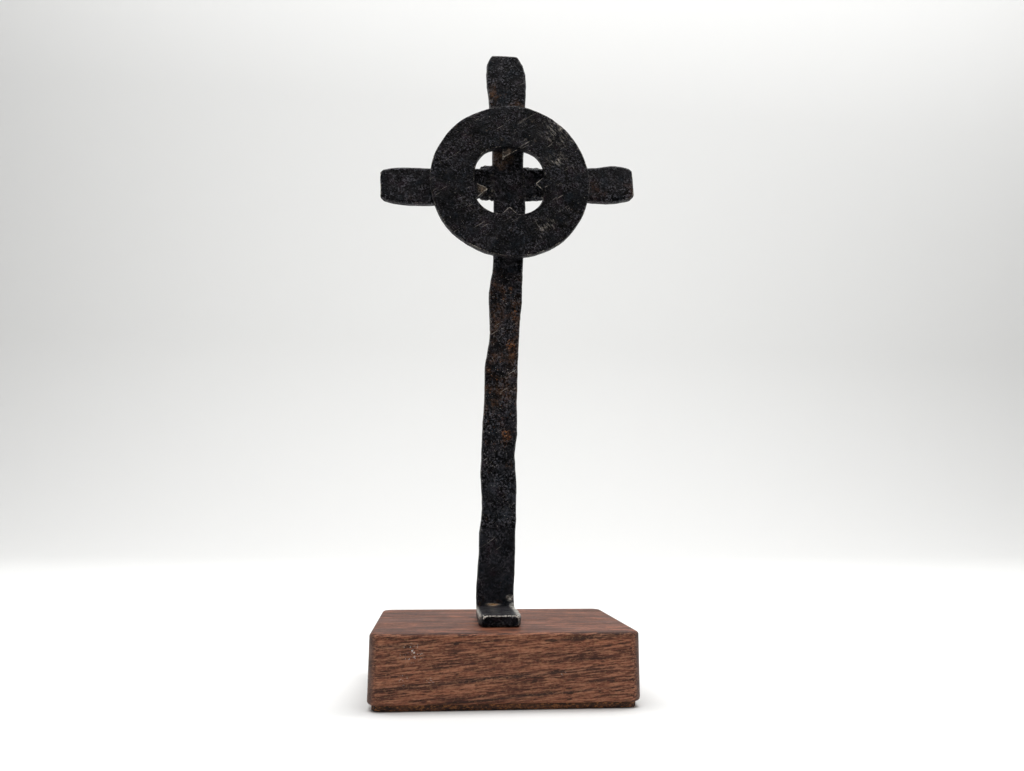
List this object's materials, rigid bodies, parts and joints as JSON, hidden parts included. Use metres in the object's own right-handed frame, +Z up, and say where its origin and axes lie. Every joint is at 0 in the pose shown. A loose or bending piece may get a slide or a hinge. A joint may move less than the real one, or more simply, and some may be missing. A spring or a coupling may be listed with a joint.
{
  "type": "standing ring-headed cross",
  "caption": "Forged flat-bar iron cross with a flat ring over the crossing, bent foot, standing on a rounded walnut block with a thin pad.",
  "frame": {"origin": "middle of the base pad's underside, on the centre lines of the block", "axes": "+Z up the cross, -Y out of its front, +X to the viewer's right when facing the front"},
  "size_m": [0.1217, 0.0762, 0.2933],
  "materials": {
    "pad": "matt brown",
    "walnut": "oiled walnut, satin",
    "iron_upright": "hammered, blackened, rusted in patches",
    "iron_crossbar": "hammered, blackened",
    "iron_ring": "hammered, blackened, worn at the edges"
  },
  "bodies": {
    "root": {"base_pad": "pad", "walnut_base": "walnut", "upright": "iron_upright", "crossbar": "iron_crossbar", "ring": "iron_ring"}
  },
  "joints": []
}
